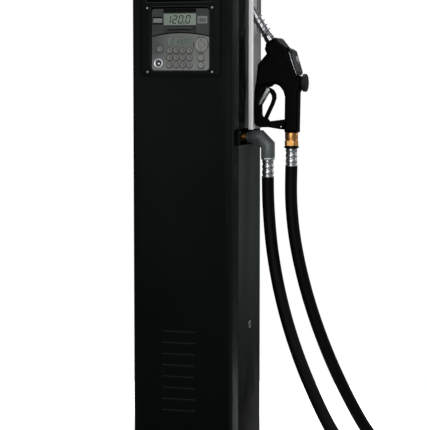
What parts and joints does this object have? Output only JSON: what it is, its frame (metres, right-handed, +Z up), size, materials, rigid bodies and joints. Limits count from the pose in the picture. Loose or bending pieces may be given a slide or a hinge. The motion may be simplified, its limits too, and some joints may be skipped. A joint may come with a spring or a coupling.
{
  "type": "fuel dispenser",
  "caption": "Slim column fuel dispenser with a hinged keypad door, pump set inside, nozzle hung in a side boot and a long hose coiled beside its base.",
  "frame": {"origin": "centre of the base plate's underside, on the floor", "axes": "+Z up, the keypad door faces -Y, the nozzle and its hose are on the +X side"},
  "size_m": [0.9617, 0.5056, 1.6],
  "materials": {
    "cabinet_black": "gloss powder coat",
    "door_black": "satin powder coat",
    "cover_grey": "satin powder coat",
    "zinc_steel": "zinc plated",
    "stainless": "fine brushed",
    "chrome": "polished",
    "brass": "machined",
    "cast_grey": "painted casting",
    "motor_paint": "semi-gloss paint",
    "filter_white": "gloss paint",
    "bezel_black": "fine texture",
    "nozzle_black": "satin vinyl",
    "dark_plastic": "fine texture",
    "header_gloss": "gloss",
    "fascia_grey": "matt film",
    "lcd_green": "display glass",
    "hose_rubber": "matt rubber",
    "board_green": "solder mask"
  },
  "bodies": {
    "root": {"base_plate": "zinc_steel", "base_frame": "door_black", "cabinet_body": "cabinet_black", "top_cap": "door_black", "side_cover": "cover_grey", "side_panel": "cabinet_black", "hinge_pin_upper": "zinc_steel", "nozzle_boot": "stainless", "spout_socket": "stainless", "electrics_box": "dark_plastic", "motor_housing": "motor_paint", "pump_body": "cast_grey", "suction_pipe": "zinc_steel", "filter_head": "cast_grey", "filter_cartridge": "filter_white", "meter_body": "cast_grey", "outlet_pipe": "zinc_steel", "outlet_nipple": "brass", "outlet_elbow": "cast_grey", "outlet_ferrule": "chrome", "hose_drop": "hose_rubber", "hose_coil": "hose_rubber", "hose_rise": "hose_rubber"},
    "door": {"front_door": "door_black", "console_frame": "bezel_black", "header_panel": "header_gloss", "display_fascia": "dark_plastic", "keypad_fascia": "fascia_grey", "lcd_main": "lcd_green", "key_reader": "stainless", "circuit_board": "board_green", "console_housing": "dark_plastic"},
    "lock": {"cam_lock": "chrome"},
    "rotor": {"drive_shaft": "zinc_steel"},
    "nozzle": {"nozzle_body": "nozzle_black", "nozzle_cover": "dark_plastic", "nozzle_spout": "chrome", "spout_spring": "chrome", "lever_guard": "nozzle_black", "nozzle_cap": "nozzle_black"},
    "lever": {"trigger_lever": "nozzle_black"},
    "latch": {"hold_open_latch": "zinc_steel"},
    "swivel": {"hose_swivel": "brass", "nozzle_ferrule": "chrome"},
    "b_key_01": {"key_01": "fascia_grey"},
    "b_key_02": {"key_02": "fascia_grey"},
    "b_key_03": {"key_03": "fascia_grey"},
    "b_key_04": {"key_04": "fascia_grey"},
    "b_key_05": {"key_05": "fascia_grey"},
    "b_key_06": {"key_06": "fascia_grey"},
    "b_key_07": {"key_07": "fascia_grey"},
    "b_key_08": {"key_08": "fascia_grey"},
    "b_key_09": {"key_09": "fascia_grey"},
    "b_key_10": {"key_10": "fascia_grey"},
    "b_key_11": {"key_11": "fascia_grey"},
    "b_key_12": {"key_12": "fascia_grey"},
    "b_key_left": {"key_left": "fascia_grey"},
    "b_key_enter": {"key_enter": "fascia_grey"},
    "b_key_clear": {"key_clear": "fascia_grey"},
    "b_nav_pad": {"nav_pad": "fascia_grey"}
  },
  "joints": [
    {"name": "door_hinge", "type": "hinge", "parent": "root", "child": "door", "pos_m": [-0.1455, -0.0855, 0.8], "axis": [0, 0, -1], "range_deg": [0, 110]},
    {"name": "lock_turn", "type": "hinge", "parent": "root", "child": "lock", "pos_m": [0.15, 0.0336, 0.453], "axis": [1, 0, 0], "range_deg": [0, 90]},
    {"name": "rotor_spin", "type": "hinge", "parent": "root", "child": "rotor", "pos_m": [0, 0.045, 0.3], "axis": [1, 0, 0], "continuous": true},
    {"name": "nozzle_lift", "type": "slide", "parent": "root", "child": "nozzle", "axis": [0.9404, 0, 0.3401], "range_m": [0, 0.12]},
    {"name": "trigger_squeeze", "type": "hinge", "parent": "nozzle", "child": "lever", "pos_m": [0.191, 0.052, 1.056], "axis": [0, 1, 0], "range_deg": [0, 16], "stiffness_Nm_per_rad": 3, "springref_deg": -11.46},
    {"name": "latch_swing", "type": "hinge", "parent": "lever", "child": "latch", "pos_m": [0.203, 0.052, 1.147], "axis": [0, 1, 0], "range_deg": [-25, 12], "stiffness_Nm_per_rad": 0.05},
    {"name": "swivel_turn", "type": "hinge", "parent": "nozzle", "child": "swivel", "pos_m": [0.2725, 0.052, 0.98], "axis": [0, 0, 1], "continuous": true},
    {"name": "key_01_press", "type": "slide", "parent": "door", "child": "b_key_01", "axis": [0, 1, 0], "range_m": [0, 0.0012], "stiffness_N_per_m": 400, "springref_m": -0.0005},
    {"name": "key_02_press", "type": "slide", "parent": "door", "child": "b_key_02", "axis": [0, 1, 0], "range_m": [0, 0.0012], "stiffness_N_per_m": 400, "springref_m": -0.0005},
    {"name": "key_03_press", "type": "slide", "parent": "door", "child": "b_key_03", "axis": [0, 1, 0], "range_m": [0, 0.0012], "stiffness_N_per_m": 400, "springref_m": -0.0005},
    {"name": "key_04_press", "type": "slide", "parent": "door", "child": "b_key_04", "axis": [0, 1, 0], "range_m": [0, 0.0012], "stiffness_N_per_m": 400, "springref_m": -0.0005},
    {"name": "key_05_press", "type": "slide", "parent": "door", "child": "b_key_05", "axis": [0, 1, 0], "range_m": [0, 0.0012], "stiffness_N_per_m": 400, "springref_m": -0.0005},
    {"name": "key_06_press", "type": "slide", "parent": "door", "child": "b_key_06", "axis": [0, 1, 0], "range_m": [0, 0.0012], "stiffness_N_per_m": 400, "springref_m": -0.0005},
    {"name": "key_07_press", "type": "slide", "parent": "door", "child": "b_key_07", "axis": [0, 1, 0], "range_m": [0, 0.0012], "stiffness_N_per_m": 400, "springref_m": -0.0005},
    {"name": "key_08_press", "type": "slide", "parent": "door", "child": "b_key_08", "axis": [0, 1, 0], "range_m": [0, 0.0012], "stiffness_N_per_m": 400, "springref_m": -0.0005},
    {"name": "key_09_press", "type": "slide", "parent": "door", "child": "b_key_09", "axis": [0, 1, 0], "range_m": [0, 0.0012], "stiffness_N_per_m": 400, "springref_m": -0.0005},
    {"name": "key_10_press", "type": "slide", "parent": "door", "child": "b_key_10", "axis": [0, 1, 0], "range_m": [0, 0.0012], "stiffness_N_per_m": 400, "springref_m": -0.0005},
    {"name": "key_11_press", "type": "slide", "parent": "door", "child": "b_key_11", "axis": [0, 1, 0], "range_m": [0, 0.0012], "stiffness_N_per_m": 400, "springref_m": -0.0005},
    {"name": "key_12_press", "type": "slide", "parent": "door", "child": "b_key_12", "axis": [0, 1, 0], "range_m": [0, 0.0012], "stiffness_N_per_m": 400, "springref_m": -0.0005},
    {"name": "key_left_press", "type": "slide", "parent": "door", "child": "b_key_left", "axis": [0, 1, 0], "range_m": [0, 0.0012], "stiffness_N_per_m": 400, "springref_m": -0.0005},
    {"name": "key_enter_press", "type": "slide", "parent": "door", "child": "b_key_enter", "axis": [0, 1, 0], "range_m": [0, 0.0012], "stiffness_N_per_m": 400, "springref_m": -0.0005},
    {"name": "key_clear_press", "type": "slide", "parent": "door", "child": "b_key_clear", "axis": [0, 1, 0], "range_m": [0, 0.0012], "stiffness_N_per_m": 400, "springref_m": -0.0005},
    {"name": "nav_pad_press", "type": "slide", "parent": "door", "child": "b_nav_pad", "axis": [0, 1, 0], "range_m": [0, 0.0012], "stiffness_N_per_m": 400, "springref_m": -0.0005}
  ]
}
